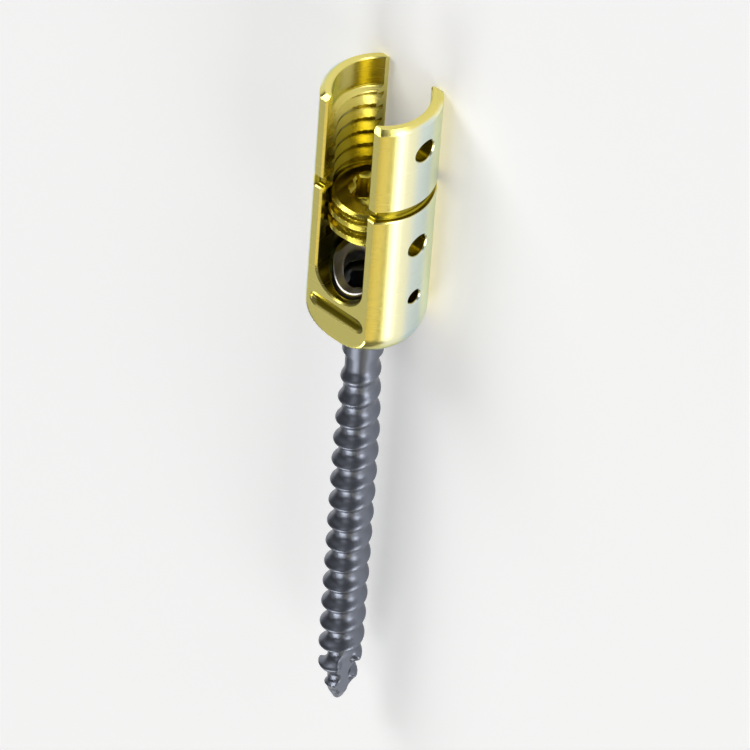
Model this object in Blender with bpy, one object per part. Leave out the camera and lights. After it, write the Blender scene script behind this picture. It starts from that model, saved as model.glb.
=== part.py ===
"""Polyaxial pedicle screw with long break-off tabs, lying on one flat of its receiver.

A ball-headed bone screw swivels in the bottom of a U-shaped receiver, under a pressure saddle.
A set screw closes the rod channel between the receiver's two tabs.

Every piece is modelled in the screw's own frame, in metres: +Z runs along the axis towards the
tabs' tops, Z = 0 is the receiver's bottom face, the rod would lie along Y, and the tabs stand
at +X and -X. An empty then lays the whole screw down.
"""

import math

import bmesh
import bpy
from mathutils import Vector

MM = 0.001

# Running gap between neighbouring pieces
GAP = 0.3 * MM

# Rod channel; the rod lies on the saddle, a little above the channel's floor
ROD_DIAMETER = 5.5 * MM
ROD_PLAY = 0.1 * MM
CHANNEL_WIDTH = 6.0 * MM
CHANNEL_DROP = 0.4 * MM

# Receiver, from the rod's axis up
BODY_ABOVE_ROD = 10.4 * MM
TAB_LENGTH = 11.4 * MM
BORE_DIAMETER = 9.5 * MM
RECEIVER_WALL = 1.35 * MM
LEAD_IN_DEPTH = 3.5 * MM
LEAD_IN_STEP = 0.15 * MM
TOP_CHAMFER = 0.5 * MM

# Break-off groove
GROOVE_WIDTH = 1.3 * MM
GROOVE_WEB = 0.8 * MM

# Receiver's lower end
FLAT_WALL = 0.75 * MM
SEAT_LIP = 1.0 * MM
BOTTOM_ROUND_WIDTH = 2.2 * MM
BOTTOM_ROUND_HEIGHT = 3.0 * MM
RECESS_LENGTH = 7.0 * MM
RECESS_WIDTH = 1.7 * MM
RECESS_HEIGHT = 3.9 * MM
RECESS_FLOOR = 0.3 * MM

# Blind holes in the tabs; a web is the wall left between a hole and the bore or the seat
TAB_HOLE_DIAMETER = 2.5 * MM
TAB_HOLE_WEB = 0.45 * MM
UPPER_HOLE_BELOW_TOP = 4.05 * MM
LOWER_HOLE_ABOVE_ROD = 5.05 * MM
CRIMP_HOLE_DIAMETER = 1.6 * MM
CRIMP_BELOW_ROD = 1.9 * MM
CRIMP_WEB = 0.35 * MM

# Ball head and its drive socket
BALL_DIAMETER = 7.2 * MM
NECK_PLAY = 0.1 * MM
MAX_TILT = math.radians(25)
SOCKET_DIAMETER = 4.4 * MM
SOCKET_RIM = 0.7 * MM
SOCKET_DEPTH = 2.6 * MM

# Pressure saddle
SADDLE_WEB = 0.7 * MM
SADDLE_BELOW_ROD = 0.6 * MM
DRIVER_PLAY = 0.3 * MM

# Shank and its bone thread
NECK_DIAMETER = 4.2 * MM
NECK_LENGTH = 4.6 * MM
SHANK_LENGTH = 54.8 * MM
THREAD_DIAMETER = 4.75 * MM
CORE_DIAMETER = 3.1 * MM
THREAD_PITCH = 2.95 * MM
THREAD_SHARPNESS = 1.6
UPPER_FLANK_SHARE = 0.65
THREAD_RUN_IN = 2.0 * MM
NECK_TAPER = 2.95 * MM
TIP_LENGTH = 5.2 * MM
TIP_CONE_LENGTH = 2.4 * MM
TIP_CONE_DIAMETER = 2.2 * MM
FLUTE_LENGTH = 8.0 * MM
FLUTE_ANGLE = math.radians(-14)
FLUTE_HALF_WIDTH = math.radians(30)
FLUTE_BITE = 0.2

# Set screw; it waits some turns above the rod
SET_SCREW_HEIGHT = 4.2 * MM
SET_SCREW_PITCH = 1.75 * MM
SET_SCREW_TURNS_UP = 1
SET_SCREW_CHAMFER = 0.4 * MM
SET_SOCKET_DIAMETER = 4.6 * MM
SET_SOCKET_DEPTH = 2.9 * MM

# Six-lobed sockets; the lobes' depth and the drill point's, as shares of the socket's radius
LOBE_SHARE = 0.09
POINT_SHARE = 0.25

# Mesh fineness
ROUND_STEPS = 48
SHANK_STEPS = 24
ROWS_PER_PITCH = 8
ARC_STEPS = 8
LOBE_STEPS = 6

# Places that follow from the sizes above
CHANNEL_RADIUS = CHANNEL_WIDTH / 2
CRADLE_RADIUS = ROD_DIAMETER / 2 + ROD_PLAY
BALL_RADIUS = BALL_DIAMETER / 2
CAVITY_RADIUS = BALL_RADIUS + GAP
RIM_ANGLE = MAX_TILT + math.asin((NECK_DIAMETER / 2 + NECK_PLAY) / CAVITY_RADIUS)
RIM_RADIUS = CAVITY_RADIUS * math.sin(RIM_ANGLE)
BALL_HEIGHT = SEAT_LIP + CAVITY_RADIUS * math.cos(RIM_ANGLE)
HEAD_TOP = BALL_HEIGHT + math.sqrt(BALL_RADIUS**2 - (SOCKET_DIAMETER / 2 + SOCKET_RIM) ** 2)
ROD_HEIGHT = HEAD_TOP + GAP + SADDLE_WEB + CRADLE_RADIUS
CHANNEL_HEIGHT = ROD_HEIGHT - CHANNEL_DROP
GROOVE_HEIGHT = ROD_HEIGHT + BODY_ABOVE_ROD
TOP_HEIGHT = GROOVE_HEIGHT + TAB_LENGTH
OUTER_RADIUS = BORE_DIAMETER / 2 + RECEIVER_WALL
HALF_FLATS = CAVITY_RADIUS + FLAT_WALL
GROOVE_DEPTH = RECEIVER_WALL - GROOVE_WEB
ROD_TOP = ROD_HEIGHT + ROD_DIAMETER / 2
SET_SCREW_BOTTOM = ROD_TOP + SET_SCREW_TURNS_UP * SET_SCREW_PITCH
BORE_STEP_HEIGHT = ROD_TOP - GAP
SADDLE_RADIUS = CAVITY_RADIUS - GAP
SADDLE_HOLE_RADIUS = SOCKET_DIAMETER / 2 + DRIVER_PLAY
SADDLE_BOTTOM = BALL_HEIGHT + math.sqrt(CAVITY_RADIUS**2 - SADDLE_RADIUS**2)
CRIMP_HEIGHT = ROD_HEIGHT - CRIMP_BELOW_ROD


def ring(height, radius, steps):
    """One level ring of points; radius is a length, or a function of the angle."""
    points = []
    for i in range(steps):
        angle = 2 * math.pi * i / steps
        r = radius(angle) if callable(radius) else radius
        points.append(Vector((r * math.cos(angle), r * math.sin(angle), height)))
    return points


def skin(levels, hollow=False):
    """A closed mesh over a list of rings. A ring of one point is a pole, a ring at either end gets
    a flat cap, and a hollow shape joins its last ring to its first instead."""
    bm = bmesh.new()
    rows = [[bm.verts.new(p) for p in level] for level in levels]
    if hollow:
        rows.append(rows[0])
    else:
        for end in (rows[0], rows[-1]):
            if len(end) > 1:
                bm.faces.new(end)
    for low, high in zip(rows, rows[1:]):
        steps = max(len(low), len(high))
        for i in range(steps):
            j = (i + 1) % steps
            corners = [low[i % len(low)], low[j % len(low)], high[j % len(high)], high[i % len(high)]]
            bm.faces.new(list(dict.fromkeys(corners)))
    bmesh.ops.recalc_face_normals(bm, faces=bm.faces)
    return bm


def turned(profile, hollow=False):
    """A profile of (radius, height) points turned about the Z axis."""
    return skin([ring(z, r, ROUND_STEPS) for r, z in profile], hollow)


def extruded(outline, direction, length):
    """A prism centred on a flat closed outline, extruded along a direction."""
    half = Vector(direction).normalized() * length / 2
    bm = bmesh.new()
    near = [bm.verts.new(p - half) for p in outline]
    far = [bm.verts.new(p + half) for p in outline]
    bm.faces.new(near)
    bm.faces.new(far)
    for i in range(len(outline)):
        j = (i + 1) % len(outline)
        bm.faces.new((near[i], near[j], far[j], far[i]))
    bmesh.ops.recalc_face_normals(bm, faces=bm.faces)
    return bm


def arc(radius, start, end, centre=(0.0, 0.0), steps=ARC_STEPS):
    """Points (u, v) on a circle's arc, from one angle to another in radians."""
    angles = [start + (end - start) * i / steps for i in range(steps + 1)]
    return [(centre[0] + radius * math.cos(a), centre[1] + radius * math.sin(a)) for a in angles]


def material(name, colour, roughness, metallic):
    made = bpy.data.materials.new(name)
    made.use_nodes = True
    shader = made.node_tree.nodes["Principled BSDF"]
    shader.inputs["Base Color"].default_value = (*colour, 1.0)
    shader.inputs["Roughness"].default_value = roughness
    shader.inputs["Metallic"].default_value = metallic
    return made


def placed(name, bm, finish, parent, origin):
    """An object with its origin at a height on the screw's axis, from a mesh in the screw's frame."""
    centre = Vector((0, 0, origin))
    bmesh.ops.translate(bm, verts=bm.verts, vec=-centre)
    mesh = bpy.data.meshes.new(name)
    bm.to_mesh(mesh)
    bm.free()
    mesh.materials.append(finish)
    mesh.shade_smooth()
    mesh.set_sharp_from_angle(angle=math.radians(35))
    made = bpy.data.objects.new(name, mesh)
    bpy.context.collection.objects.link(made)
    made.parent = parent
    made.location = centre
    return made


def cut(target, name, bm):
    """Takes a shape, given in the screw's frame, away from an object."""
    mesh = bpy.data.meshes.new(name)
    bm.to_mesh(mesh)
    bm.free()
    cutter = bpy.data.objects.new(name, mesh)
    bpy.context.collection.objects.link(cutter)
    cutter.parent = target.parent
    cutter.hide_render = True
    cutter.display_type = "WIRE"
    step = target.modifiers.new(name, "BOOLEAN")
    step.operation = "DIFFERENCE"
    step.object = cutter


def hexalobe(diameter, bottom, top):
    """A six-lobed drive socket's cutter; its walls follow a cosine wave around the axis."""
    depth_of_lobes = LOBE_SHARE * diameter / 2
    mean = diameter / 2 - depth_of_lobes

    def wall(angle):
        return mean + depth_of_lobes * math.cos(6 * angle)

    steps = 6 * LOBE_STEPS
    point = Vector((0, 0, bottom - POINT_SHARE * diameter / 2))
    return skin([[point], ring(bottom, wall, steps), ring(top, wall, steps)])


def receiver_profile():
    """The receiver's outline before its flats and slots, from the seat's rim round to the bore."""
    flare = SEAT_LIP * math.tan(MAX_TILT)
    bottom_round = [
        (OUTER_RADIUS - BOTTOM_ROUND_WIDTH * (1 - u), BOTTOM_ROUND_HEIGHT * (1 + v))
        for u, v in arc(1.0, -math.pi / 2, 0)
    ]
    seat = arc(CAVITY_RADIUS, 0, RIM_ANGLE - math.pi / 2, (0, BALL_HEIGHT))
    groove_low = GROOVE_HEIGHT - GROOVE_WIDTH / 2
    groove_high = GROOVE_HEIGHT + GROOVE_WIDTH / 2
    lead_in_radius = BORE_DIAMETER / 2 + LEAD_IN_STEP
    return [
        (RIM_RADIUS + flare, 0),
        *bottom_round,
        (OUTER_RADIUS, groove_low),
        (OUTER_RADIUS - GROOVE_DEPTH, groove_low),
        (OUTER_RADIUS - GROOVE_DEPTH, groove_high),
        (OUTER_RADIUS, groove_high),
        (OUTER_RADIUS, TOP_HEIGHT - TOP_CHAMFER),
        (OUTER_RADIUS - TOP_CHAMFER, TOP_HEIGHT),
        (lead_in_radius, TOP_HEIGHT),
        (lead_in_radius, TOP_HEIGHT - LEAD_IN_DEPTH + LEAD_IN_STEP),
        (BORE_DIAMETER / 2, TOP_HEIGHT - LEAD_IN_DEPTH),
        (BORE_DIAMETER / 2, BORE_STEP_HEIGHT),
        (CAVITY_RADIUS, BORE_STEP_HEIGHT),
        *seat,
    ]


def make_receiver(finish, parent):
    receiver = placed("receiver", turned(receiver_profile(), hollow=True), finish, parent, 0.0)
    beyond = 2 * OUTER_RADIUS

    # Two flats face along the rod, and the break-off groove crosses them
    for side in (-1, 1):
        name = "flat_cutter_near" if side < 0 else "flat_cutter_far"
        flat_y = side * (HALF_FLATS + beyond / 2)
        flat = box((0, flat_y, TOP_HEIGHT / 2), (2 * beyond, beyond, 2 * TOP_HEIGHT))
        cut(receiver, name, flat)
        step_y = HALF_FLATS - GROOVE_DEPTH
        step = box((0, side * (step_y + beyond / 2), GROOVE_HEIGHT), (2 * beyond, beyond, GROOVE_WIDTH))
        cut(receiver, name.replace("flat", "groove"), step)

    # The rod channel is a U that is open at the top
    bottom_arc = arc(CHANNEL_RADIUS, math.pi, 2 * math.pi, (0, CHANNEL_HEIGHT), 2 * ARC_STEPS)
    over_top = TOP_HEIGHT + CHANNEL_RADIUS
    channel = [(-CHANNEL_RADIUS, over_top), *bottom_arc, (CHANNEL_RADIUS, over_top)]
    outline = [Vector((x, 0, z)) for x, z in channel]
    cut(receiver, "channel_cutter", extruded(outline, (0, 1, 0), 2 * beyond))

    # Blind holes: two in each tab for the instruments that hold it, and one beside the saddle
    tab_floor = BORE_DIAMETER / 2 + TAB_HOLE_WEB
    holes = (
        ("upper_hole", TAB_HOLE_DIAMETER, TOP_HEIGHT - UPPER_HOLE_BELOW_TOP, tab_floor),
        ("lower_hole", TAB_HOLE_DIAMETER, ROD_HEIGHT + LOWER_HOLE_ABOVE_ROD, tab_floor),
        ("crimp_hole", CRIMP_HOLE_DIAMETER, CRIMP_HEIGHT, CAVITY_RADIUS + CRIMP_WEB),
    )
    for name, diameter, height, floor in holes:
        for side, label in ((-1, "left"), (1, "right")):
            middle = side * (floor + beyond / 2)
            cut(receiver, f"{name}_{label}", cross_pin(diameter, height, middle, beyond))

    # A round-ended recess on each flat takes the instrument's lug
    end = RECESS_WIDTH / 2
    reach = RECESS_LENGTH / 2 - end
    loop = arc(end, -math.pi / 2, math.pi / 2, (reach, RECESS_HEIGHT))
    loop += arc(end, math.pi / 2, 3 * math.pi / 2, (-reach, RECESS_HEIGHT))
    floor_y = HALF_FLATS - FLAT_WALL + RECESS_FLOOR
    for side in (-1, 1):
        name = "recess_cutter_near" if side < 0 else "recess_cutter_far"
        middle = side * (floor_y + beyond / 2)
        outline = [Vector((x, middle, z)) for x, z in loop]
        cut(receiver, name, extruded(outline, (0, 1, 0), beyond))
    return receiver


def box(centre, size):
    x, y, z = (s / 2 for s in size)
    corners = [(-x, -y), (x, -y), (x, y), (-x, y)]
    outline = [Vector(centre) + Vector((u, v, 0)) for u, v in corners]
    return extruded(outline, (0, 0, 1), 2 * z)


def cross_pin(diameter, height, middle, length):
    """A pin along X, for a hole across the receiver."""
    points = arc(diameter / 2, 0, 2 * math.pi, (0, height), 2 * ARC_STEPS)[:-1]
    outline = [Vector((middle, y, z)) for y, z in points]
    return extruded(outline, (1, 0, 0), length)


def make_saddle(finish, parent):
    """The pressure saddle: a cup on the ball below, a cradle for the rod above, and a driver's hole."""
    top = ROD_HEIGHT - SADDLE_BELOW_ROD
    inner = math.asin(SADDLE_HOLE_RADIUS / CAVITY_RADIUS)
    outer = math.asin(SADDLE_RADIUS / CAVITY_RADIUS)
    cup = arc(CAVITY_RADIUS, math.pi / 2 - outer, math.pi / 2 - inner, (0, BALL_HEIGHT))
    profile = [*cup, (SADDLE_HOLE_RADIUS, top), (SADDLE_RADIUS, top)]
    saddle = placed("pressure_saddle", turned(profile, hollow=True), finish, parent, BALL_HEIGHT)
    outline = arc(CRADLE_RADIUS, 0, 2 * math.pi, (0, ROD_HEIGHT), 4 * ARC_STEPS)[:-1]
    cradle = extruded([Vector((x, 0, z)) for x, z in outline], (0, 1, 0), 4 * OUTER_RADIUS)
    cut(saddle, "cradle_cutter", cradle)
    return saddle


def make_set_screw(finish, parent):
    """The set screw's thread is fine, so the solid is the cylinder that its thread fills."""
    radius = BORE_DIAMETER / 2 - GAP
    top = SET_SCREW_BOTTOM + SET_SCREW_HEIGHT
    profile = [
        (radius - SET_SCREW_CHAMFER, SET_SCREW_BOTTOM),
        (radius, SET_SCREW_BOTTOM + SET_SCREW_CHAMFER),
        (radius, top - SET_SCREW_CHAMFER),
        (radius - SET_SCREW_CHAMFER, top),
    ]
    set_screw = placed("set_screw", turned(profile), finish, parent, SET_SCREW_BOTTOM)
    socket = hexalobe(SET_SOCKET_DIAMETER, top - SET_SOCKET_DEPTH, top + GAP)
    cut(set_screw, "set_socket_cutter", socket)
    return set_screw


def envelope(full, above_tip):
    """A shank radius that narrows over the tip's two stages; full is the radius above them."""
    if above_tip >= TIP_LENGTH:
        return full
    cone = TIP_CONE_DIAMETER / 2
    if above_tip <= TIP_CONE_LENGTH:
        return cone * above_tip / TIP_CONE_LENGTH
    return cone + (full - cone) * (above_tip - TIP_CONE_LENGTH) / (TIP_LENGTH - TIP_CONE_LENGTH)


def thread_wave(turns):
    """The bone thread's ridge over one turn: a long upper flank and a short lower one, both rounded."""
    lower_share = 1 - UPPER_FLANK_SHARE
    above = (turns + lower_share) % 1.0 - lower_share
    away = above / UPPER_FLANK_SHARE if above > 0 else -above / lower_share
    return (0.5 + 0.5 * math.cos(math.pi * away)) ** THREAD_SHARPNESS


def shank_radius(height, angle):
    """Core plus a right-handed ridge, which swells below the neck and is cut by two flutes at the tip."""
    above_tip = height + SHANK_LENGTH
    below_neck = -NECK_LENGTH - height
    core = envelope(CORE_DIAMETER / 2, above_tip)
    crest = envelope(THREAD_DIAMETER / 2, above_tip)
    taper = min(max(below_neck / NECK_TAPER, 0.0), 1.0)
    run_in = min(max(below_neck / THREAD_RUN_IN, 0.0), 1.0)
    root = NECK_DIAMETER / 2 + (core - NECK_DIAMETER / 2) * taper
    wave = thread_wave(height / THREAD_PITCH - angle / (2 * math.pi))
    radius = root + (crest - root) * wave * run_in
    in_flute = math.cos(2 * (angle - FLUTE_ANGLE)) > math.cos(2 * FLUTE_HALF_WIDTH)
    if in_flute and above_tip < FLUTE_LENGTH:
        radius = min(radius, core * (1 - FLUTE_BITE * (1 - above_tip / FLUTE_LENGTH)))
    return radius


def make_bone_screw(finish, parent):
    """Ball head, smooth neck, threaded shank and fluted tip, turned from one bar."""
    neck = NECK_DIAMETER / 2
    under_ball = BALL_HEIGHT - math.sqrt(BALL_RADIUS**2 - neck**2)
    top_angle = math.asin((HEAD_TOP - BALL_HEIGHT) / BALL_RADIUS)
    neck_angle = -math.acos(neck / BALL_RADIUS)
    ball = arc(BALL_RADIUS, top_angle, neck_angle, (0, BALL_HEIGHT), 2 * ARC_STEPS)
    levels = [ring(z, r, SHANK_STEPS) for r, z in ball]

    rows = round((SHANK_LENGTH - NECK_LENGTH) / THREAD_PITCH * ROWS_PER_PITCH)
    start = -NECK_LENGTH
    for row in range(rows):
        height = start - (SHANK_LENGTH - NECK_LENGTH) * row / rows
        levels.append(ring(height, lambda angle, z=height: shank_radius(z, angle), SHANK_STEPS))
    levels.append([Vector((0, 0, -SHANK_LENGTH))])

    bone_screw = placed("bone_screw", skin(levels), finish, parent, BALL_HEIGHT)
    socket = hexalobe(SOCKET_DIAMETER, HEAD_TOP - SOCKET_DEPTH, HEAD_TOP + GAP)
    cut(bone_screw, "socket_cutter", socket)
    return bone_screw


def main():
    for old in list(bpy.data.objects):
        bpy.data.objects.remove(old, do_unlink=True)

    # Lying on a flat, with the axis level along world Y and the middle of its length at the origin
    lying = bpy.data.objects.new("lying", None)
    bpy.context.collection.objects.link(lying)
    lying.rotation_euler = (-math.pi / 2, 0, 0)
    lying.location = (0, (SHANK_LENGTH - TOP_HEIGHT) / 2, HALF_FLATS)

    gold = material("gold_anodised_titanium", (0.79, 0.66, 0.27), 0.22, 1.0)
    bright_gold = material("gold_anodised_set_screw", (0.82, 0.67, 0.2), 0.2, 1.0)
    slate = material("slate_anodised_titanium", (0.2, 0.22, 0.26), 0.35, 1.0)
    grey = material("plain_titanium", (0.55, 0.54, 0.52), 0.35, 1.0)

    make_receiver(gold, lying)
    make_saddle(grey, lying)
    make_set_screw(bright_gold, lying)
    make_bone_screw(slate, lying)


main()
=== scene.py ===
# Pedicle screw with long break-off tabs: the looks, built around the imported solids.
# Shapes are worked out in millimetres in the screw's own frame: +z towards the tabs' tops,
# the channel along y, the tabs at +x and -x. The function lieDown then lays them on the floor.

import math

import bmesh
import bpy
import numpy as np
from mathutils import Matrix, Vector


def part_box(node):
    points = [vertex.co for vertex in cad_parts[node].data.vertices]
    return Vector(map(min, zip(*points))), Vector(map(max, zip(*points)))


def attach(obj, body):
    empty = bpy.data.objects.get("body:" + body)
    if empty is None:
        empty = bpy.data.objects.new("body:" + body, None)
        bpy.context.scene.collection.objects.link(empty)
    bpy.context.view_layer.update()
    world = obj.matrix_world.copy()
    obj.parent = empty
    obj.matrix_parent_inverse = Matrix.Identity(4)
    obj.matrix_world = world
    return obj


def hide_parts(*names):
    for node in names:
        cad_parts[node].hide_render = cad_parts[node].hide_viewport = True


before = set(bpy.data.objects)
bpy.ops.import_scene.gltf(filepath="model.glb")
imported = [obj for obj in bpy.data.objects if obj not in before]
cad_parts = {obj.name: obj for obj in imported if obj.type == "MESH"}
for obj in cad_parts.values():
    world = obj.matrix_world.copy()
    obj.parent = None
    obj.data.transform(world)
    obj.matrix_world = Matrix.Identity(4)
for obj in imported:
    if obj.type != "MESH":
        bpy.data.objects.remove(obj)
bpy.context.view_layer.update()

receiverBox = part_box("receiver")
axisHeight = (receiverBox[0][2] + receiverBox[1][2]) / 2
bottomPlace = receiverBox[0][1]
topHeight = (receiverBox[1][1] - bottomPlace) * 1000
tipDepth = (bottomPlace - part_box("bone_screw")[0][1]) * 1000
print("frame loaded: receiver %.2f mm long, shank %.2f mm below it" % (topHeight, tipDepth))


# shapes

bendLimit = 32.0  # degrees; edges that bend by more stay sharp


def lieDown(points):
    # the screw's x, y, z in mm become x, z, -y in metres, moved to the frame's place
    p = np.asarray(points, dtype=float) * 0.001
    return np.stack((p[..., 0], p[..., 2] + bottomPlace, axisHeight - p[..., 1]), axis=-1)


def ramp(value, start, end):
    # smooth step: 0 before start, 1 after end, with an even S between
    t = np.clip((value - start) / (end - start), 0.0, 1.0)
    return t * t * (3 - 2 * t)


def addPiece(name, points, faces, limit=bendLimit):
    # a mesh with its faces outwards, smooth apart from the edges that bend by more than the limit
    mesh = bpy.data.meshes.new(name)
    mesh.from_pydata(lieDown(points).tolist(), [], faces)
    bm = bmesh.new()
    bm.from_mesh(mesh)
    bmesh.ops.recalc_face_normals(bm, faces=bm.faces)
    bm.to_mesh(mesh)
    bm.free()
    mesh.shade_smooth()
    mesh.set_sharp_from_angle(angle=math.radians(limit))
    piece = bpy.data.objects.new(name, mesh)
    bpy.context.collection.objects.link(piece)
    return piece


def turnedSurface(radius, height, angle):
    # every row's radius carried round the axis: x is radius times cosine, y radius times sine, z the height
    radius, height, angle = np.broadcast_arrays(radius, height, angle)
    return np.stack((radius * np.cos(angle), radius * np.sin(angle), height), axis=-1)


def gridFaces(rows, columns, loop):
    # quads between neighbouring rows; columns always join up, rows do where loop is true
    r = np.arange(rows if loop else rows - 1)[:, None]
    c = np.arange(columns)[None, :]
    nextRow, nextColumn = (r + 1) % rows, (c + 1) % columns
    quads = np.stack((r * columns + c, r * columns + nextColumn,
                      nextRow * columns + nextColumn, nextRow * columns + c), axis=-1)
    return quads.reshape(-1, 4).tolist()


def closedGrid(points, loop=False):
    # the points as a list, and their faces, with a fan to one centre point over each open end
    rows, columns = points.shape[:2]
    flat = points.reshape(-1, 3)
    faces = gridFaces(rows, columns, loop)
    if not loop:
        ends = np.stack((points[0].mean(axis=0), points[-1].mean(axis=0)))
        flat = np.concatenate((flat, ends))
        c = np.arange(columns)
        first = np.full(columns, rows * columns)
        low = np.stack((first, (c + 1) % columns, c), axis=-1)
        base = (rows - 1) * columns
        high = np.stack((first + 1, base + c, base + (c + 1) % columns), axis=-1)
        faces = faces + low.tolist() + high.tolist()
    return flat, faces


def column(values):
    # one value for each row of a grid
    return np.asarray(values, dtype=float)[:, None]


def evenAngles(count):
    return np.linspace(0, 2 * np.pi, count, endpoint=False)


def arcPath(centreRadius, centreHeight, across, along, start, end, steps):
    # part of an ellipse, from one angle to another in degrees: the centre plus each half width
    # times the angle's cosine or sine
    a = np.radians(np.linspace(start, end, steps + 1))
    return np.stack((centreRadius + across * np.cos(a), centreHeight + along * np.sin(a)), axis=1)


def sixLobes(angle, tipRadius, lobeDepth):
    # the tips' radius, less the depth, plus the depth times the cosine of six times the angle
    return tipRadius - lobeDepth + lobeDepth * np.cos(6 * angle)


# machine thread, shared by the bore and the set screw, so that they mesh

machineThreadValues = {
    "pitch": 1.75, "root": 4.95, "crest": 4.2, "phase": 0.30,
    # the ridge over one turn, going up: steep lower flank, flat crest, sloping upper flank, root
    "ridgePlaces": (0.0, 0.09, 0.32, 0.74, 1.0), "ridgeHeights": (0.0, 1.0, 1.0, 0.0, 0.0),
}


def ridgeWave(phase):
    # straight lines between the ridge's places, repeated each turn
    return np.interp(phase % 1.0, machineThreadValues["ridgePlaces"], machineThreadValues["ridgeHeights"])


def threadPhase(z, angle):
    # height over pitch, less the share of a turn, so that the ridge climbs right-handed
    return z / machineThreadValues["pitch"] - angle / (2 * np.pi) + machineThreadValues["phase"]


def threadRadius(wave):
    # the root's radius, less the ridge's depth times the wave
    depth = machineThreadValues["root"] - machineThreadValues["crest"]
    return machineThreadValues["root"] - depth * wave


# receiver

receiverValues = {
    "outerRadius": 6.1, "halfFlats": 4.65, "boreRadius": 4.75, "seatRadius": 3.9,
    "seatHeight": 2.989, "seatRim": 3.355, "seatFlare": 0.466,
    "boreStep": 11.42, "leadInDepth": 3.5, "leadInRadius": 4.9, "leadInBreak": 0.12, "topChamfer": 0.5,
    "bottomRoundWidth": 2.2, "bottomRoundHeight": 3.0,
    "grooveHeight": 19.372, "grooveWidth": 1.3, "grooveDepth": 0.6, "grooveEdge": 0.14, "grooveArc": 0.22,
    # how far below the lead-in the ridge fades, how much of it does, and how far above the bore's step
    "ridgeEntry": 0.55, "ridgeEntryShare": 0.9, "ridgeRunOut": 0.9, "stepGap": 0.02,
    "channelHalf": 3.0, "channelHeight": 8.572, "edgeBreak": 0.2, "channelFlare": 0.35,
    "holeRadius": 1.25, "holeHeights": (topHeight - 4.05, 14.022), "holeFloor": 5.2,
    "holesFrom": 5.0, "holesBelowTop": 1.0,  # the stretch that all the holes lie in
    "crimpRadius": 0.8, "crimpHeight": 7.072, "crimpFloor": 4.25, "holeBreak": 0.16,
    "recessHeight": 3.9, "recessLength": 7.0, "recessWidth": 1.7, "recessFloor": 4.2,
    # the recess's outline next to its floor: how far above the floor, how far it has grown there, and
    # how much it has of its lower half's width
    "recessSteps": ((0.0, -0.12, 0.45), (0.06, 0.0, 0.55)), "recessBreak": 0.06, "recessGrow": (0.07, 0.3),
    "cutReach": 8.0, "cutClear": 0.3, "channelReach": 9.0, "channelAbove": 3.0,
    "columns": 240, "rowsPerTurn": 38,
}


def receiverAngles(v):
    # evenly spread angles, with a column exactly on each corner between flat and round
    angles = evenAngles(v["columns"])
    corner = math.asin(v["halfFlats"] / v["outerRadius"])
    for target in (corner, np.pi - corner, np.pi + corner, 2 * np.pi - corner):
        angles[np.argmin(np.abs(angles - target))] = target
    return angles


def flattened(radius, angle, inset):
    # the smaller of the round's radius and the flat's distance over the angle's sine
    flat = (receiverValues["halfFlats"] - inset) / np.maximum(np.abs(np.sin(angle)), 1e-6)
    return np.minimum(radius, flat)


def receiverBody(v):
    # one closed profile, up the outside and down the bore, turned round the axis and cut by the flats
    angle = receiverAngles(v)[None, :]
    rows = []

    def outside(radius, height, inset=0.0):
        rows.append(turnedSurface(flattened(radius, angle, inset), height, angle))

    def inside(radius, height):
        rows.append(turnedSurface(radius, height, angle))

    inside(v["seatRim"] + v["seatFlare"], 0.0)
    for radius, height in arcPath(v["outerRadius"] - v["bottomRoundWidth"], v["bottomRoundHeight"],
                                  v["bottomRoundWidth"], v["bottomRoundHeight"], -90, 0, 16):
        outside(radius, height)

    # the groove has rounded floor corners and broken edges
    low, high = v["grooveHeight"] - v["grooveWidth"] / 2, v["grooveHeight"] + v["grooveWidth"] / 2
    outer, depth, edge, arc = v["outerRadius"], v["grooveDepth"], v["grooveEdge"], v["grooveArc"]

    def grooveCorner(wall, towards, turns):
        for a in np.radians(turns):
            sunk = depth - arc * (1 - np.sin(a))
            outside(outer - sunk, wall + towards * arc * (1 - np.cos(a)), sunk)

    for z in np.linspace(v["bottomRoundHeight"], low - edge, 12)[1:]:
        outside(outer, z)
    outside(outer - edge, low, edge)
    grooveCorner(low, 1, (0, 30, 60, 90))
    grooveCorner(high, -1, (90, 60, 30, 0))
    outside(outer - edge, high, edge)
    for z in np.linspace(high + edge, topHeight - v["topChamfer"], 10):
        outside(outer, z)
    outside(outer - v["topChamfer"], topHeight, v["topChamfer"])
    inside(v["leadInRadius"] + v["leadInBreak"], topHeight)
    leadInBottom = topHeight - v["leadInDepth"]
    for z in np.linspace(topHeight - v["leadInBreak"], leadInBottom, 6):
        inside(v["leadInRadius"], z)

    # bore: a right-handed ridge, faded out towards both ends
    turns = (leadInBottom - v["boreStep"]) / machineThreadValues["pitch"]
    z = column(np.linspace(leadInBottom, v["boreStep"] + v["stepGap"], int(turns * v["rowsPerTurn"])))
    r = threadRadius(ridgeWave(threadPhase(z, angle)))
    entry = ramp(z, leadInBottom - v["ridgeEntry"], leadInBottom)
    r = r + (v["leadInRadius"] - r) * entry * v["ridgeEntryShare"]
    runOut = 1 - ramp(z, v["boreStep"], v["boreStep"] + v["ridgeRunOut"])
    r = r + (v["boreRadius"] - r) * runOut
    rows.append(turnedSurface(r, z, angle))

    # seat for the ball, down to its rim
    for z in np.linspace(v["boreStep"], v["seatHeight"], 8)[:-1]:
        inside(v["seatRadius"], z)
    rimAngle = -math.degrees(math.acos(v["seatRim"] / v["seatRadius"]))
    for radius, height in arcPath(0, v["seatHeight"], v["seatRadius"], v["seatRadius"], 0, rimAngle, 10):
        inside(radius, height)
    return addPiece("receiverBody", *closedGrid(np.concatenate(rows), loop=True))


def sweptCutter(name, sections):
    # a closed solid through rings of points that all have the same count
    return addPiece(name, *closedGrid(np.stack(sections)))


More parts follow.
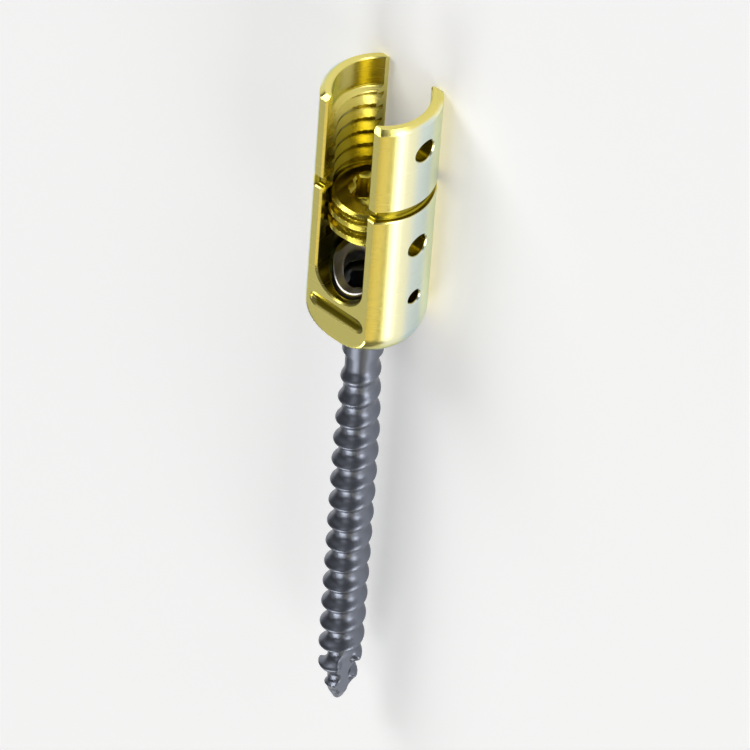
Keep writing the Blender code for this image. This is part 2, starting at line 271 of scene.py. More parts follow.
def channelCutter(v):
    # a U outline, a half circle with straight sides above it, carried along y and growing by the edge
    # break at the flats and outwards
    reach, flats, edge = v["channelReach"], v["halfFlats"], v["edgeBreak"]
    sections = []
    for y, grow in ((-reach, edge + v["channelFlare"]), (-flats, edge), (-flats + edge, 0.0),
                    (flats - edge, 0.0), (flats, edge), (reach, edge + v["channelFlare"])):
        half = v["channelHalf"] + grow
        above = topHeight + v["channelAbove"]
        a = np.linspace(np.pi, 2 * np.pi, 49)
        x = np.concatenate((half * np.cos(a), [half], [-half]))
        z = np.concatenate((v["channelHeight"] + half * np.sin(a), [above], [above]))
        sections.append(np.stack((x, np.full_like(x, y), z), axis=1))
    return sweptCutter("channelCutter", sections)


def holeCutter(name, v, side, height, radius, inner):
    # rings round an axis along x; the outer ones follow the round wall, whose distance is the root of
    # outer radius squared less y squared, to break the edge evenly
    a = evenAngles(64)
    edge = v["holeBreak"]

    def ringAt(depth, r):
        y, z = r * np.cos(a), height + r * np.sin(a)
        return np.stack((side * depth * np.ones_like(a), y, z), axis=1)

    def ringOnWall(drop, r):
        y, z = r * np.cos(a), height + r * np.sin(a)
        return np.stack((side * (np.sqrt(v["outerRadius"] ** 2 - y ** 2) - drop), y, z), axis=1)

    broken = radius + edge
    wide = broken + v["cutClear"]
    return sweptCutter(name, [ringAt(inner, radius), ringOnWall(edge, radius), ringOnWall(0.0, broken),
                              ringOnWall(-v["cutClear"], wide), ringAt(v["cutReach"], wide)])


def recessCutter(name, v, side):
    # a long outline on the flat with half circles for ends; its lower half is narrower at the floor, so
    # that the lower wall slopes out, as a milled lug seat's does
    a = np.linspace(-np.pi / 2, np.pi / 2, 17)

    def outline(y, grow, slope):
        end = v["recessWidth"] / 2 + grow
        reach = v["recessLength"] / 2 - v["recessWidth"] / 2
        x = np.concatenate((reach + end * np.cos(a), -reach - end * np.cos(a)))
        z = np.concatenate((end * np.sin(a), -end * np.sin(a)))
        z = np.where(z < 0, z * slope, z) + v["recessHeight"]
        return np.stack((x, np.full_like(x, side * y), z), axis=1)

    sections = [outline(v["recessFloor"] + past, grow, slope) for past, grow, slope in v["recessSteps"]]
    for y, grow in ((v["halfFlats"] - v["recessBreak"], 0.0), (v["halfFlats"], v["recessGrow"][0]),
                    (v["cutReach"], v["recessGrow"][1])):
        sections.append(outline(y, grow, 1.0))
    return sweptCutter(name, sections)


def cutAway(body, cutters):
    # all the cutters in one difference
    joined = bmesh.new()
    for cutter in cutters:
        joined.from_mesh(cutter.data)
    mesh = bpy.data.meshes.new("allCutters")
    joined.to_mesh(mesh)
    joined.free()
    tool = bpy.data.objects.new("allCutters", mesh)
    bpy.context.collection.objects.link(tool)
    step = body.modifiers.new("cuts", "BOOLEAN")
    step.operation = "DIFFERENCE"
    step.object = tool
    step.solver = "EXACT"
    bpy.context.view_layer.update()
    cut = bpy.data.meshes.new_from_object(body.evaluated_get(bpy.context.evaluated_depsgraph_get()))
    body.modifiers.clear()
    body.data = cut
    for old in cutters + [tool]:
        bpy.data.objects.remove(old, do_unlink=True)
    cut.shade_smooth()
    cut.set_sharp_from_angle(angle=math.radians(bendLimit))


v = receiverValues
receiver = receiverBody(v)
cutters = [channelCutter(v)]
for side in (-1, 1):
    label = "Left" if side < 0 else "Right"
    holes = [(height, v["holeRadius"], v["holeFloor"]) for height in v["holeHeights"]]
    holes.append((v["crimpHeight"], v["crimpRadius"], v["crimpFloor"]))
    for number, (height, radius, inner) in enumerate(holes):
        cutters.append(holeCutter("hole%s%d" % (label, number), v, side, height, radius, inner))
    cutters.append(recessCutter("recess%s" % label, v, side))
cutAway(receiver, cutters)
receiver.name = "receiverTulip"
print("receiver: %d faces" % len(receiver.data.polygons))


# set screw

setScrewValues = {
    "bottom": 13.472, "height": 4.2, "clearance": 0.1, "play": 0.05, "widest": 4.62,
    "endRadius": 4.0, "endSlope": 1.1, "topRadii": (3.98, 3.2, 2.75),
    # the shallow ring in the lower end: radius and how far it is sunk
    "lowerEnd": ((0.02, 0.0), (1.2, 0.0), (1.5, 0.12), (2.9, 0.12), (3.1, 0.0)),
    "socketRadius": 2.35, "lobeDepth": 0.24, "socketDepth": 2.9,
    # how far in and up the edges are broken at the socket's foot and mouth, and the mouth's least radius
    "socketFoot": (0.12, 0.1), "socketBreak": (0.22, 0.2), "socketRim": 2.5,
    # below the socket's floor: radius and depth of the drill point
    "drillPoint": ((1.2, 0.25), (0.02, 0.45)),
    "columns": 240, "rowsPerTurn": 70,
}


def setScrewSurface(v):
    # a closed profile turned round the axis; its threaded wall is the bore's radius at the same phase,
    # less the clearance, and no wider than a cone at each end allows
    angle = evenAngles(v["columns"])[None, :]
    top = v["bottom"] + v["height"]
    lobes = sixLobes(angle, v["socketRadius"], v["lobeDepth"])
    floor = top - v["socketDepth"]
    rows = []

    def add(radius, height):
        rows.append(turnedSurface(radius, height, angle))

    for radius, sunk in v["lowerEnd"]:
        add(radius, v["bottom"] + sunk)
    turns = v["height"] / machineThreadValues["pitch"]
    z = column(np.linspace(v["bottom"], top, int(turns * v["rowsPerTurn"])))
    phase = threadPhase(z, angle)
    play = v["play"] / machineThreadValues["pitch"]
    radius = threadRadius(np.maximum(ridgeWave(phase - play), ridgeWave(phase + play))) - v["clearance"]
    limit = v["endRadius"] + np.minimum(z - v["bottom"], top - z) * v["endSlope"]
    rows.append(turnedSurface(np.minimum(radius, np.minimum(limit, v["widest"])), z, angle))
    for radius in v["topRadii"]:
        add(radius, top)
    grow, drop = v["socketBreak"]
    shrink, rise = v["socketFoot"]
    add(np.maximum(lobes + grow, v["socketRim"]), top)
    for z in np.linspace(top - drop, floor + rise, 6):
        add(lobes, z)
    add(lobes - shrink, floor)
    for radius, depth in v["drillPoint"]:
        add(radius, floor - depth)
    return addPiece("setScrewThreaded", *closedGrid(np.concatenate(rows)))


setScrew = setScrewSurface(setScrewValues)
print("set screw: %d faces" % len(setScrew.data.polygons))


# pressure saddle

saddleValues = {
    "ballHeight": 2.989, "cupRadius": 3.9, "outerRadius": 3.6, "holeRadius": 2.5, "top": 8.372,
    "cradleHeight": 8.972, "cradleRadius": 2.85, "edge": 0.12, "wallStart": 0.15, "columns": 160,
}


def saddleSurface(v):
    # a ring whose top is the lower of a flat and of a round trough along y, which lies below its axis
    # by the root of cradle radius squared less x squared; the cup under it is part of a ball
    angle = evenAngles(v["columns"])[None, :]
    inner, outer, edge = v["holeRadius"], v["outerRadius"], v["edge"]
    rows = []

    def add(radius, height):
        rows.append(turnedSurface(radius, height, angle))

    def cradle(radius):
        x = np.abs(radius * np.cos(angle))
        dip = v["cradleHeight"] - np.sqrt(np.maximum(v["cradleRadius"] ** 2 - x ** 2, 0.0))
        return np.minimum(v["top"], np.where(x < v["cradleRadius"], dip, v["top"]))

    def cup(radius):
        return v["ballHeight"] + math.sqrt(v["cupRadius"] ** 2 - radius ** 2)

    for radius in np.linspace(inner, outer - edge, 10):
        add(radius, cup(radius))
    wallBottom = cup(outer) + edge
    add(outer, wallBottom)
    for share in np.linspace(v["wallStart"], 1.0, 6):
        add(outer, wallBottom + (cradle(outer) - edge - wallBottom) * share)
    for radius in np.linspace(outer - edge, inner + edge, 12):
        add(radius, cradle(radius))
    for share in (1.0, 0.75, 0.5, 0.25):
        add(inner, cup(inner) + (cradle(inner) - edge - cup(inner)) * share)
    return addPiece("pressureSaddle", *closedGrid(np.concatenate(rows), loop=True))


saddle = saddleSurface(saddleValues)
print("pressure saddle: %d faces" % len(saddle.data.polygons))


# bone screw

boneScrewValues = {
    "ballHeight": 2.989, "ballRadius": 3.6, "headTop": 5.122, "socketRadius": 2.2, "lobeDepth": 0.2,
    "socketDepth": 2.6, "socketFoot": (0.12, 0.1), "socketBreak": (0.2, 0.18), "socketRim": 2.36,
    # below the socket's floor: radius and depth of the drill point, from its middle out
    "drillPoint": ((0.02, 0.4), (1.2, 0.2)),
    # how much narrower the head's flat top is than the ball there, and how many degrees below it the
    # ball starts
    "rimBreak": 0.08, "rimTurn": 1.0,
    # how much wider the ball ends than the neck, and how far below the ball the neck starts
    "neckRadius": 2.1, "neckLength": 4.6, "neckFillet": 0.12, "neckSink": 0.25,
    # above the neck's lower end: where its plain rows end and where the thread's rows start; and how far
    # above the point the rows stop
    "neckEnd": 0.5, "threadTop": 0.3, "pointGap": 0.03,
    "pitch": 2.95, "startTurn": 0.34, "upperShare": 0.6, "threadSharpness": 1.8,
    "rootRadius": 1.72, "rootNearNeck": 2.02, "rootReach": 14.0,
    # from the neck down: where the root leaves the neck's radius, where the ridges rise,
    # how much of their height the first ones have, and where they have all of it
    "rootStart": (0.6, 3.4), "ridgeStart": (0.7, 2.4), "firstRidgeShare": 0.5, "ridgeGrowth": (1.0, 13.0),
    # the tip's envelope: places above the point, and the crest's and the root's radius there
    "crestPlaces": (0.0, 0.4, 1.6, 2.4, 3.2, 5.0, 9.0),
    "crestRadii": (0.0, 0.44, 1.07, 1.35, 1.75, 2.2, 2.37),
    "rootPlaces": (0.0, 0.4, 1.6, 2.4, 7.0, 12.0), "rootRadii": (0.0, 0.43, 1.0, 1.12, 1.3, 1.72),
    "barbShare": 0.2, "barbReach": (4.8, 7.4),
    "fluteAngle": -17.0, "fluteHalfWidth": 0.75, "fluteWall": 0.6, "fluteShare": 0.95,
    # how far round a flute can reach, in radians, and the least cosine that its flat is worked out with
    "fluteTurn": 1.2, "fluteLeast": 0.2,
    "fluteLength": 9.0, "fluteFade": 2.5, "columns": 144, "rowsPerTurn": 26, "bendLimit": 40.0,
}


def threadWave(phase, upperShare, v):
    # one turn of the bone thread, with the upper flank as long as its share says: a half and half a
    # cosine of the way from crest to root, raised to the sharpness
    lowerShare = 1 - upperShare
    above = (phase + lowerShare) % 1.0 - lowerShare
    away = np.where(above > 0, above / upperShare, -above / lowerShare)
    return (0.5 + 0.5 * np.cos(np.pi * away)) ** v["threadSharpness"]


def shankRadius(z, angle, v):
    # a right-handed ridge: the root's radius, plus the way from root to crest times the wave, whose phase
    # is height over pitch less the share of a turn
    aboveTip = z + tipDepth
    belowNeck = -v["neckLength"] - z
    crest = np.interp(aboveTip, v["crestPlaces"], v["crestRadii"])
    nearNeck = 1 - ramp(belowNeck, 0.0, v["rootReach"])
    root = v["rootRadius"] + (v["rootNearNeck"] - v["rootRadius"]) * nearNeck
    root = v["neckRadius"] + (root - v["neckRadius"]) * ramp(belowNeck, *v["rootStart"])
    root = np.minimum(root, np.interp(aboveTip, v["rootPlaces"], v["rootRadii"]))
    # next to the tip the ridges turn into barbs, with a short upper flank
    upperShare = v["barbShare"] + (v["upperShare"] - v["barbShare"]) * ramp(aboveTip, *v["barbReach"])
    wave = threadWave(z / v["pitch"] - angle / (2 * np.pi) + v["startTurn"], upperShare, v)
    # the ridges rise out of the neck and reach their full height over the first turns
    grown = v["firstRidgeShare"] + (1 - v["firstRidgeShare"]) * ramp(belowNeck, *v["ridgeGrowth"])
    radius = root + (crest - root) * ramp(belowNeck, *v["ridgeStart"]) * grown * wave
    # two flutes cut flat across the ridges near the tip; off is the angle from the nearer one's middle
    off = (angle - math.radians(v["fluteAngle"]) + np.pi / 2) % np.pi - np.pi / 2
    across = radius * np.abs(np.sin(off))
    inFlute = 1 - ramp(across, v["fluteHalfWidth"], v["fluteHalfWidth"] + v["fluteWall"])
    inFlute = np.where(np.abs(off) < v["fluteTurn"], inFlute, 0.0)
    inFlute = inFlute * ramp(v["fluteLength"] - aboveTip, 0.0, v["fluteFade"])
    cut = np.minimum(radius, root * v["fluteShare"] / np.maximum(np.cos(off), v["fluteLeast"]))
    return radius + (cut - radius) * inFlute


def boneScrewSurface(v):
    # a closed profile turned round the axis: socket, flat top, ball, neck, then the threaded shank
    angle = evenAngles(v["columns"])[None, :]
    lobes = sixLobes(angle, v["socketRadius"], v["lobeDepth"])
    top, floor = v["headTop"], v["headTop"] - v["socketDepth"]
    ball, middle, neck = v["ballRadius"], v["ballHeight"], v["neckRadius"]
    grow, drop = v["socketBreak"]
    shrink, rise = v["socketFoot"]
    rows = []

    def add(radius, height):
        rows.append(turnedSurface(radius, height, angle))

    for radius, depth in v["drillPoint"]:
        add(radius, floor - depth)
    add(lobes - shrink, floor)
    for z in np.linspace(floor + rise, top - drop, 6):
        add(lobes, z)
    add(np.maximum(lobes + grow, v["socketRim"]), top)
    add(math.sqrt(ball ** 2 - (top - middle) ** 2) - v["rimBreak"], top)
    startAngle = math.degrees(math.asin((top - middle) / ball)) - v["rimTurn"]
    endAngle = -math.degrees(math.acos((neck + v["neckFillet"]) / ball))
    for radius, height in arcPath(0, middle, ball, ball, startAngle, endAngle, 34):
        add(radius, height)
    neckTop = middle - math.sqrt(ball ** 2 - neck ** 2) - v["neckSink"]
    for z in np.linspace(neckTop, -v["neckLength"] + v["neckEnd"], 10):
        add(neck, z)
    count = int((tipDepth - v["neckLength"]) / v["pitch"] * v["rowsPerTurn"])
    z = column(np.linspace(-v["neckLength"] + v["threadTop"], -tipDepth + v["pointGap"], count))
    rows.append(turnedSurface(shankRadius(z, angle, v), z, angle))
    flat, faces = closedGrid(np.concatenate(rows))
    flat[-1] = (0.0, 0.0, -tipDepth)
    return addPiece("boneScrew", flat, faces, v["bendLimit"])


boneScrew = boneScrewSurface(boneScrewValues)
print("bone screw: %d faces" % len(boneScrew.data.polygons))


# finishes

def newGroup(name, inputs, outputs):
    # a node group of plain numbers: named inputs with their first values, and named outputs
    group = bpy.data.node_groups.new(name, "ShaderNodeTree")
    for label, value in inputs:
        socket = group.interface.new_socket(label, in_out="INPUT", socket_type="NodeSocketFloat")
        socket.default_value = value
    for label in outputs:
        group.interface.new_socket(label, in_out="OUTPUT", socket_type="NodeSocketFloat")
    return group, group.nodes.new("NodeGroupInput"), group.nodes.new("NodeGroupOutput")


def feed(tree, value, socket):
    # another node's output is linked to the socket, and a fixed value is set on it
    if isinstance(value, bpy.types.NodeSocket):
        tree.links.new(value, socket)
    else:
        socket.default_value = value


def mathNode(tree, operation, *values):
    node = tree.nodes.new("ShaderNodeMath")
    node.operation = operation
    for value, socket in zip(values, node.inputs):
        feed(tree, value, socket)
    return node.outputs[0]


def noiseNode(tree, vector, scale, detail, rough=0.5):
    node = tree.nodes.new("ShaderNodeTexNoise")
    for label, value in (("Vector", vector), ("Scale", scale), ("Detail", detail), ("Roughness", rough)):
        feed(tree, value, node.inputs[label])
    return node.outputs["Fac"]


def mapRange(tree, value, start, end, low, high, curve="LINEAR"):
    # low before start, high after end
    node = tree.nodes.new("ShaderNodeMapRange")
    node.interpolation_type = curve
    feed(tree, value, node.inputs["Value"])
    for label, number in (("From Min", start), ("From Max", end), ("To Min", low), ("To Max", high)):
        node.inputs[label].default_value = number
    return node.outputs["Result"]


turnedFinishValues = {
    # the noise is squeezed along y, the screw's axis, into rings round it
    "lineStretch": (8.0, 1000.0, 8.0), "lineDetail": 3.0, "lineRoughness": 0.6,
    "lineSpan": (0.3, 0.7),  # where most of the lines' values lie
    "cloudDetail": 3.0, "grainScale": 9000.0, "grainDetail": 2.0, "grainRoughness": 0.7,
}


def turnedFinish(v):
    # cutting lines round the screw's axis, a cloud of slow unevenness, and a fine grain
    group, given, result = newGroup(
        "turnedFinish", [("Lines per mm", 9.0), ("Cloud size", 220.0)], ("Lines", "Cloud", "Grain"))
    place = group.nodes.new("ShaderNodeTexCoord").outputs["Object"]
    squeezed = group.nodes.new("ShaderNodeMapping")
    group.links.new(place, squeezed.inputs["Vector"])
    squeezed.inputs["Scale"].default_value = v["lineStretch"]
    lines = noiseNode(group, squeezed.outputs["Vector"], given.outputs["Lines per mm"],
                      v["lineDetail"], v["lineRoughness"])
    cloud = noiseNode(group, place, given.outputs["Cloud size"], v["cloudDetail"])
    grain = noiseNode(group, place, v["grainScale"], v["grainDetail"], v["grainRoughness"])
    for label, value in (("Lines", lines), ("Cloud", cloud), ("Grain", grain)):
        group.links.new(value, result.inputs[label])
    return group


# for the painted highlight, reflection and shade on the receiver:
# in metres and radians, each pair from where a mask is 1 to where it is 0
paintedLightValues = {
    "skin": (0.0001, 0.0004),  # in from the outer round
    # round from the middle of a tab's back
    "backTurn": (0.08, 0.30), "sideTurn": (0.48, 0.66), "holeTurn": (0.27, 0.30),
    "boreFade": (0.0, 0.0005), "boreEndFade": (-0.0055, 0.0015), "flatFade": (-0.0002, -0.0001),
    "grooveFade": 0.00004, "holeDepth": 0.00057, "holeHalf": 0.00042, "holeFade": 0.0001,
}


def paintedLightLayers(v):
    # where painted light goes on the receiver's gold, whose axis lies along y: one mask is 1 on the tabs'
    # round backs, for a painted blue-grey reflection; one is 1 beside them too, for a painted cream
    # highlight;
    # one is 1 in the bore below the lead-in, in the groove and in the holes, for painted shade
    lengths = ("Axis height", "Outer radius", "Flats", "Bore radius", "Bore end",
               "Groove place", "Groove half", "Holes place", "Holes half")
    group, given, result = newGroup("paintedLightLayers", [(label, 0.0) for label in lengths], ("PaintedReflection", "Side", "PaintedShade"))

    def fade(value, start, end):
        return mapRange(group, value, start, end, 1.0, 0.0, "SMOOTHSTEP")

    def within(value, middle, half, edge):
        # 1 within half of the middle, 0 from half plus edge on
        off = mathNode(group, "ABSOLUTE", mathNode(group, "SUBTRACT", value, middle))
        return fade(mathNode(group, "SUBTRACT", off, half), 0.0, edge)

    place = group.nodes.new("ShaderNodeTexCoord").outputs["Object"]
    parts = group.nodes.new("ShaderNodeSeparateXYZ")
    group.links.new(place, parts.inputs["Vector"])
    x, y, z = (parts.outputs[label] for label in ("X", "Y", "Z"))
    drop = mathNode(group, "SUBTRACT", z, given.outputs["Axis height"])
    square = mathNode(group, "MULTIPLY_ADD", x, x, mathNode(group, "MULTIPLY", drop, drop))
    distance = mathNode(group, "SQRT", square)
    aside, upright = mathNode(group, "ABSOLUTE", x), mathNode(group, "ABSOLUTE", drop)
    turn = mathNode(group, "ARCTAN2", upright, aside)
    inward = mathNode(group, "SUBTRACT", given.outputs["Outer radius"], distance)
    outside = fade(inward, *v["skin"])
    # painted reflection: the tabs' round backs are painted a pale blue-grey, standing in for what the wall
    # mirrors at a grazing angle
    back = mathNode(group, "MULTIPLY", outside, fade(turn, *v["backTurn"]))
    # painted highlight: the round wall beside the backs is painted a paler cream, where the lamps' pale
    # band is mirrored
    side = mathNode(group, "MULTIPLY", outside, fade(turn, *v["sideTurn"]))

    # painted shade: the bore below the lead-in, the groove and the holes are painted a deep dark gold
    beyond = mathNode(group, "SUBTRACT", distance, given.outputs["Bore radius"])
    past = mathNode(group, "SUBTRACT", y, given.outputs["Bore end"])
    onFlat = mathNode(group, "SUBTRACT", upright, given.outputs["Flats"])
    inBore = mathNode(group, "MULTIPLY", fade(beyond, *v["boreFade"]), fade(past, *v["boreEndFade"]))
    inBore = mathNode(group, "MULTIPLY", inBore, fade(onFlat, *v["flatFade"]))
    inGroove = within(y, given.outputs["Groove place"], given.outputs["Groove half"], v["grooveFade"])
    inHole = within(inward, v["holeDepth"], v["holeHalf"], v["holeFade"])
    inHole = mathNode(group, "MULTIPLY", inHole, fade(turn, *v["holeTurn"]))
    nearHoles = within(y, given.outputs["Holes place"], given.outputs["Holes half"], v["holeFade"])
    inHole = mathNode(group, "MULTIPLY", inHole, nearHoles)
    paintedShade = mathNode(group, "MAXIMUM", mathNode(group, "MAXIMUM", inBore, inGroove), inHole)
    for label, value in (("PaintedReflection", back), ("Side", side), ("PaintedShade", paintedShade)):
        group.links.new(value, result.inputs[label])
    return group


finishGroup = turnedFinish(turnedFinishValues)
paintedLightGroup = paintedLightLayers(paintedLightValues)


def placed(tree, group, values):
    # the group in a material, with its inputs set
    node = tree.nodes.new("ShaderNodeGroup")
    node.node_tree = group
    for label, number in values.items():
        node.inputs[label].default_value = number
    return node.outputs


def mixed(tree, share, first, second):
    # the first colour, turned into the second, a fixed one, by the share
    node = tree.nodes.new("ShaderNodeMix")
    node.data_type = "RGBA"
    feed(tree, share, node.inputs["Factor"])
    feed(tree, (*first, 1) if isinstance(first, tuple) else first, node.inputs["A"])
    feed(tree, (*second, 1), node.inputs["B"])
    return node.outputs["Result"]


def receiverPlaces(boreEdge):
    # where the painted highlight, reflection and shade start and end on the receiver, in metres in the
    # frame
    v = receiverValues
    low, high = v["holesFrom"], topHeight - v["holesBelowTop"]
    return {
        "Axis height": axisHeight, "Outer radius": 0.001 * v["outerRadius"],
        "Flats": 0.001 * v["halfFlats"], "Bore radius": boreEdge,
        "Bore end": bottomPlace + 0.001 * (topHeight - v["leadInDepth"]),
        "Groove place": bottomPlace + 0.001 * v["grooveHeight"], "Groove half": 0.0005 * v["grooveWidth"],
        "Holes place": bottomPlace + 0.0005 * (low + high), "Holes half": 0.0005 * (high - low),
    }


def metalFinish(name, v):
    # turned metal: colour, roughness and relief follow the finish group; painted highlight, reflection and
    # shade where it has them
    made = bpy.data.materials.new(name)
    made.use_nodes = True
    tree = made.node_tree
    shader = tree.nodes["Principled BSDF"]
    shader.inputs["Metallic"].default_value = v["metallic"]
    shader.inputs["Specular Tint"].default_value = (*v.get("edgeTint", (1, 1, 1)), 1)
    finish = placed(tree, finishGroup, {"Lines per mm": v["linesPerMm"], "Cloud size": v["cloudSize"]})

    colour = mixed(tree, finish["Cloud"], v["colour"], v["colourShift"])
    if "paintedShadeColour" in v:
        # the receiver's gold gets a painted cream highlight, a painted blue-grey reflection and painted
        # shade in its hollows
        paintedLightMasks = placed(tree, paintedLightGroup, receiverPlaces(v["boreEdge"]))
        for label, tone in (("Side", "paintedHighlightColour"), ("PaintedReflection", "paintedReflectionColour"), ("PaintedShade", "paintedShadeColour")):
            colour = mixed(tree, paintedLightMasks[label], colour, v[tone])
    feed(tree, colour, shader.inputs["Base Color"])
    rough = mapRange(tree, finish["Lines"], *turnedFinishValues["lineSpan"], *v["roughness"])
    feed(tree, rough, shader.inputs["Roughness"])

    # the relief is in millimetres
    relief = mathNode(tree, "MULTIPLY", finish["Lines"], v["lineRelief"])
    relief = mathNode(tree, "MULTIPLY_ADD", finish["Grain"], v["grainRelief"], relief)
    bump = tree.nodes.new("ShaderNodeBump")
    bump.inputs["Strength"].default_value = 1.0
    bump.inputs["Distance"].default_value = 0.001
    feed(tree, relief, bump.inputs["Height"])
    feed(tree, bump.outputs["Normal"], shader.inputs["Normal"])
    return made


goldValues = {
    "colour": (0.84, 0.75, 0.24), "colourShift": (0.86, 0.73, 0.19), "metallic": 1.0,
    # a painted cream highlight beside the tabs' backs, and a painted blue-grey reflection on the backs
    "paintedHighlightColour": (0.95, 0.91, 0.57), "paintedReflectionColour": (0.74, 0.80, 0.72), "edgeTint": (0.72, 0.88, 1.0),
    # painted shade: a dark gold for the bore, the groove and the holes
    "paintedShadeColour": (0.35, 0.28, 0.018), "boreEdge": 0.00505, "roughness": (0.20, 0.28),
    "linesPerMm": 9.0, "cloudSize": 260.0, "lineRelief": 0.0006, "grainRelief": 0.0003,
}
# the set screw's gold is painted darker and deeper than the receiver's: painted shade for its place down in
# the bore
setScrewShadedGoldValues = {
    "colour": (0.66, 0.56, 0.085), "colourShift": (0.60, 0.50, 0.07), "metallic": 1.0,
    "roughness": (0.17, 0.25), "linesPerMm": 7.0, "cloudSize": 300.0,
    "lineRelief": 0.001, "grainRelief": 0.0003,
}
slateValues = {
    "colour": (0.175, 0.19, 0.23), "colourShift": (0.20, 0.215, 0.255), "metallic": 1.0,
    "roughness": (0.32, 0.42), "linesPerMm": 5.0, "cloudSize": 400.0,
    "lineRelief": 0.002, "grainRelief": 0.0025,
}
saddleTitaniumValues = {
    "colour": (0.52, 0.50, 0.47), "colourShift": (0.58, 0.56, 0.53), "metallic": 1.0,
    "roughness": (0.28, 0.38), "linesPerMm": 8.0, "cloudSize": 300.0,
    "lineRelief": 0.002, "grainRelief": 0.0005,
}

gold = metalFinish("goldAnodised", goldValues)
setScrewShadedGold = metalFinish("setScrewShadedGold", setScrewShadedGoldValues)
slate = metalFinish("slateAnodised", slateValues)
saddleTitanium = metalFinish("saddleTitanium", saddleTitaniumValues)

for piece, node, body, finish, slotName in (
    (receiver, "receiver", "receiver", gold, "receiver_gold"),
    (saddle, "pressure_saddle", "receiver", saddleTitanium, "saddle_titanium"),
    (setScrew, "set_screw", "set_screw", setScrewShadedGold, "set_screw_gold"),
    (boneScrew, "bone_screw", "bone_screw", slate, "shank_slate"),
):
    piece.data.materials.clear()
    piece.data.materials.append(finish)
    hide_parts(node)
    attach(piece, body)
print("finishes and bodies set")


# room: floor, light and camera

roomValues = {
    "floorSize": 3.0, "floorColour": 0.9, "floorRoughness": 0.9, "floorSpecular": 0.1, "floorGlow": 0.23,
    "worldStrength": 0.12,
    "cameraDirection": (0.4524, -0.5558, 0.6975),  # towards the camera, in the screw's frame
    "cameraDistance": 0.92, "lean": -0.075, "fill": 0.86, "sensorWidth": 36.0, "farEnd": 10.0,
}

floorMesh = bpy.data.meshes.new("floor")
half = roomValues["floorSize"] / 2
corners = [(-half, -half, 0), (half, -half, 0), (half, half, 0), (-half, half, 0)]
floorMesh.from_pydata(corners, [], [(0, 1, 2, 3)])
floor = bpy.data.objects.new("floor", floorMesh)
bpy.context.collection.objects.link(floor)
paper = bpy.data.materials.new("paper")
paper.use_nodes = True
tree = paper.node_tree
paperShader = tree.nodes["Principled BSDF"]
paperShader.inputs["Base Color"].default_value = (roomValues["floorColour"],) * 3 + (1,)
paperShader.inputs["Roughness"].default_value = roomValues["floorRoughness"]
paperShader.inputs["Specular IOR Level"].default_value = roomValues["floorSpecular"]
paperShader.inputs["Emission Color"].default_value = (1, 1, 1, 1)
# the paper's own white, for what sees the background itself: the camera, and metal that mirrors it
rays = tree.nodes.new("ShaderNodeLightPath").outputs
whiteShare = mathNode(tree, "MAXIMUM", rays["Is Camera Ray"], rays["Is Glossy Ray"])
whiteShare = mathNode(tree, "MAXIMUM", whiteShare, rays["Is Transmission Ray"])
glow = mathNode(tree, "MULTIPLY", whiteShare, roomValues["floorGlow"])
feed(tree, glow, paperShader.inputs["Emission Strength"])
floorMesh.materials.append(paper)

world = bpy.data.worlds.new("studio")
bpy.context.scene.world = world
world.use_nodes = True
background = world.node_tree.nodes["Background"]
background.inputs["Color"].default_value = (1, 1, 1, 1)
background.inputs["Strength"].default_value = roomValues["worldStrength"]


# each lamp is a card, aimed at the screw unless it has an aim of its own
lampValues = {
    # low on the tabs' right, mirrored as the pale band down the round walls
    "wallLamp": {
        "place": (0.75, -0.80, 0.125), "aim": (0.0, -0.80, 0.125), "size": (0.60, 0.25), "radiance": 1.75,
    },
    # its brighter other half, mirrored by the bone thread's ridges
    "ridgeLamp": {
        "place": (0.75, -0.20, 0.26), "aim": (0.0, -0.20, 0.05), "size": (0.56, 0.30), "radiance": 4.6,
    },
    # above them and warm, mirrored by the walls next to the flats
    "warmLamp": {
        "place": (0.67, -0.83, 0.54), "size": (0.40, 0.34), "radiance": 0.86, "colour": (1.0, 0.84, 0.46),
    },
    # low at the upper right, for the groove and the bore's thread
    "lowLamp": {"place": (0.76, 0.91, 0.17), "size": (0.60, 0.30), "radiance": 4.0},
    # over the camera's left, into the bore
    "boreLamp": {"place": (-0.56, 0.90, 0.56), "size": (0.62, 0.60), "radiance": 6.5},
    # mirrored by the flats
    "flatLamp": {"place": (-0.54, -0.83, 0.67), "size": (0.60, 0.60), "radiance": 0.42},
    # for the floor
    "backLamp": {"place": (-0.07, -0.99, 0.67), "size": (0.50, 0.50), "radiance": 6.0},
    "overheadLamp": {"place": (0.04, 0.0, 1.2), "size": (0.55, 0.55), "radiance": 0.9},
}


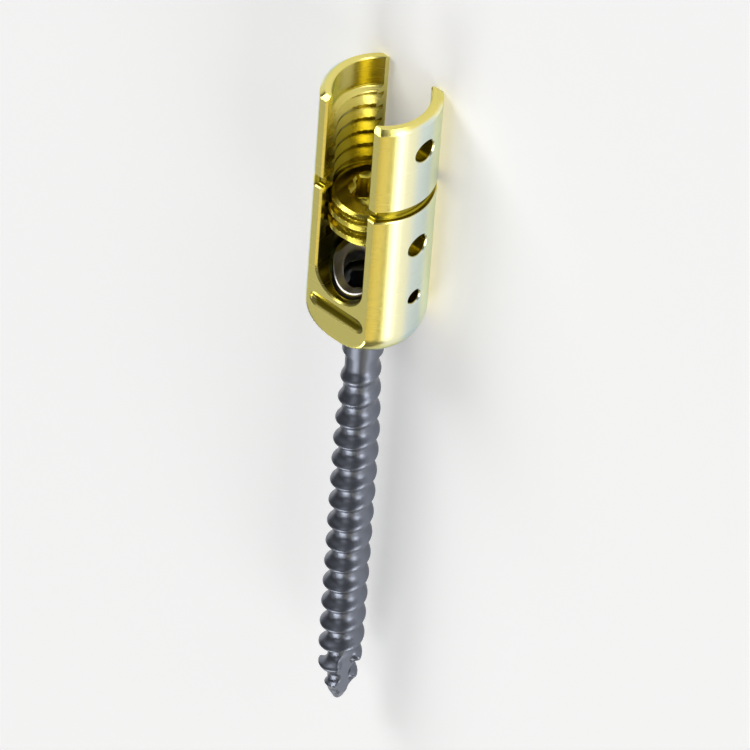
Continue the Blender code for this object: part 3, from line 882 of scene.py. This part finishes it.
def addLamp(name, v):
    # the energy that gives a card its radiance: radiance times pi times the card's area
    lamp = bpy.data.lights.new(name, "AREA")
    lamp.shape = "RECTANGLE"
    lamp.size, lamp.size_y = v["size"]
    lamp.energy = v["radiance"] * math.pi * lamp.size * lamp.size_y
    lamp.color = v.get("colour", (1, 1, 1))
    holder = bpy.data.objects.new(name, lamp)
    bpy.context.collection.objects.link(holder)
    holder.location = v["place"]
    aim = Vector(v.get("aim", (0, 0, 0))) - Vector(v["place"])
    holder.rotation_euler = aim.to_track_quat("-Z", "Y").to_euler()


for name, values in lampValues.items():
    addLamp(name, values)

# camera: seen along the photograph's direction, turned so that the axis leans nearly as it does there
x, y, z = roomValues["cameraDirection"]
towardsCamera = Vector((x, z, -y)).normalized()
cameraPlace = Vector((0.0, 0.0, axisHeight)) + towardsCamera * roomValues["cameraDistance"]
axis = Vector((0, 1, 0))
across = (axis - towardsCamera * axis.dot(towardsCamera)).normalized()
up = Matrix.Rotation(math.atan(-roomValues["lean"]), 3, towardsCamera) @ across
rotation = Matrix((up.cross(towardsCamera), up, towardsCamera)).transposed()

# aim and lens: the screw's corners, seen from the camera, fill the chosen share of the frame
shown = (receiver, setScrew, boneScrew)
points = np.concatenate([np.array([tuple(vertex.co) for vertex in piece.data.vertices]) for piece in shown])
seen = (points - np.array(cameraPlace)) @ np.array(rotation)
spots = seen[:, :2] / -seen[:, 2:]
low, high = spots.min(axis=0), spots.max(axis=0)
back = -(rotation @ Vector((*(low + high) / 2, -1)).normalized())
right = up.cross(back).normalized()
rotation = Matrix((right, back.cross(right), back)).transposed()

cameraData = bpy.data.cameras.new("camera")
cameraData.sensor_width = roomValues["sensorWidth"]
cameraData.lens = roomValues["sensorWidth"] * roomValues["fill"] / (high - low).max()
cameraData.clip_end = roomValues["farEnd"]
camera = bpy.data.objects.new("camera", cameraData)
bpy.context.collection.objects.link(camera)
camera.matrix_world = Matrix.Translation(cameraPlace) @ rotation.to_4x4()
bpy.context.scene.camera = camera
print("camera lens %.0f mm" % cameraData.lens)

bpy.context.scene.view_settings.view_transform = "Standard"
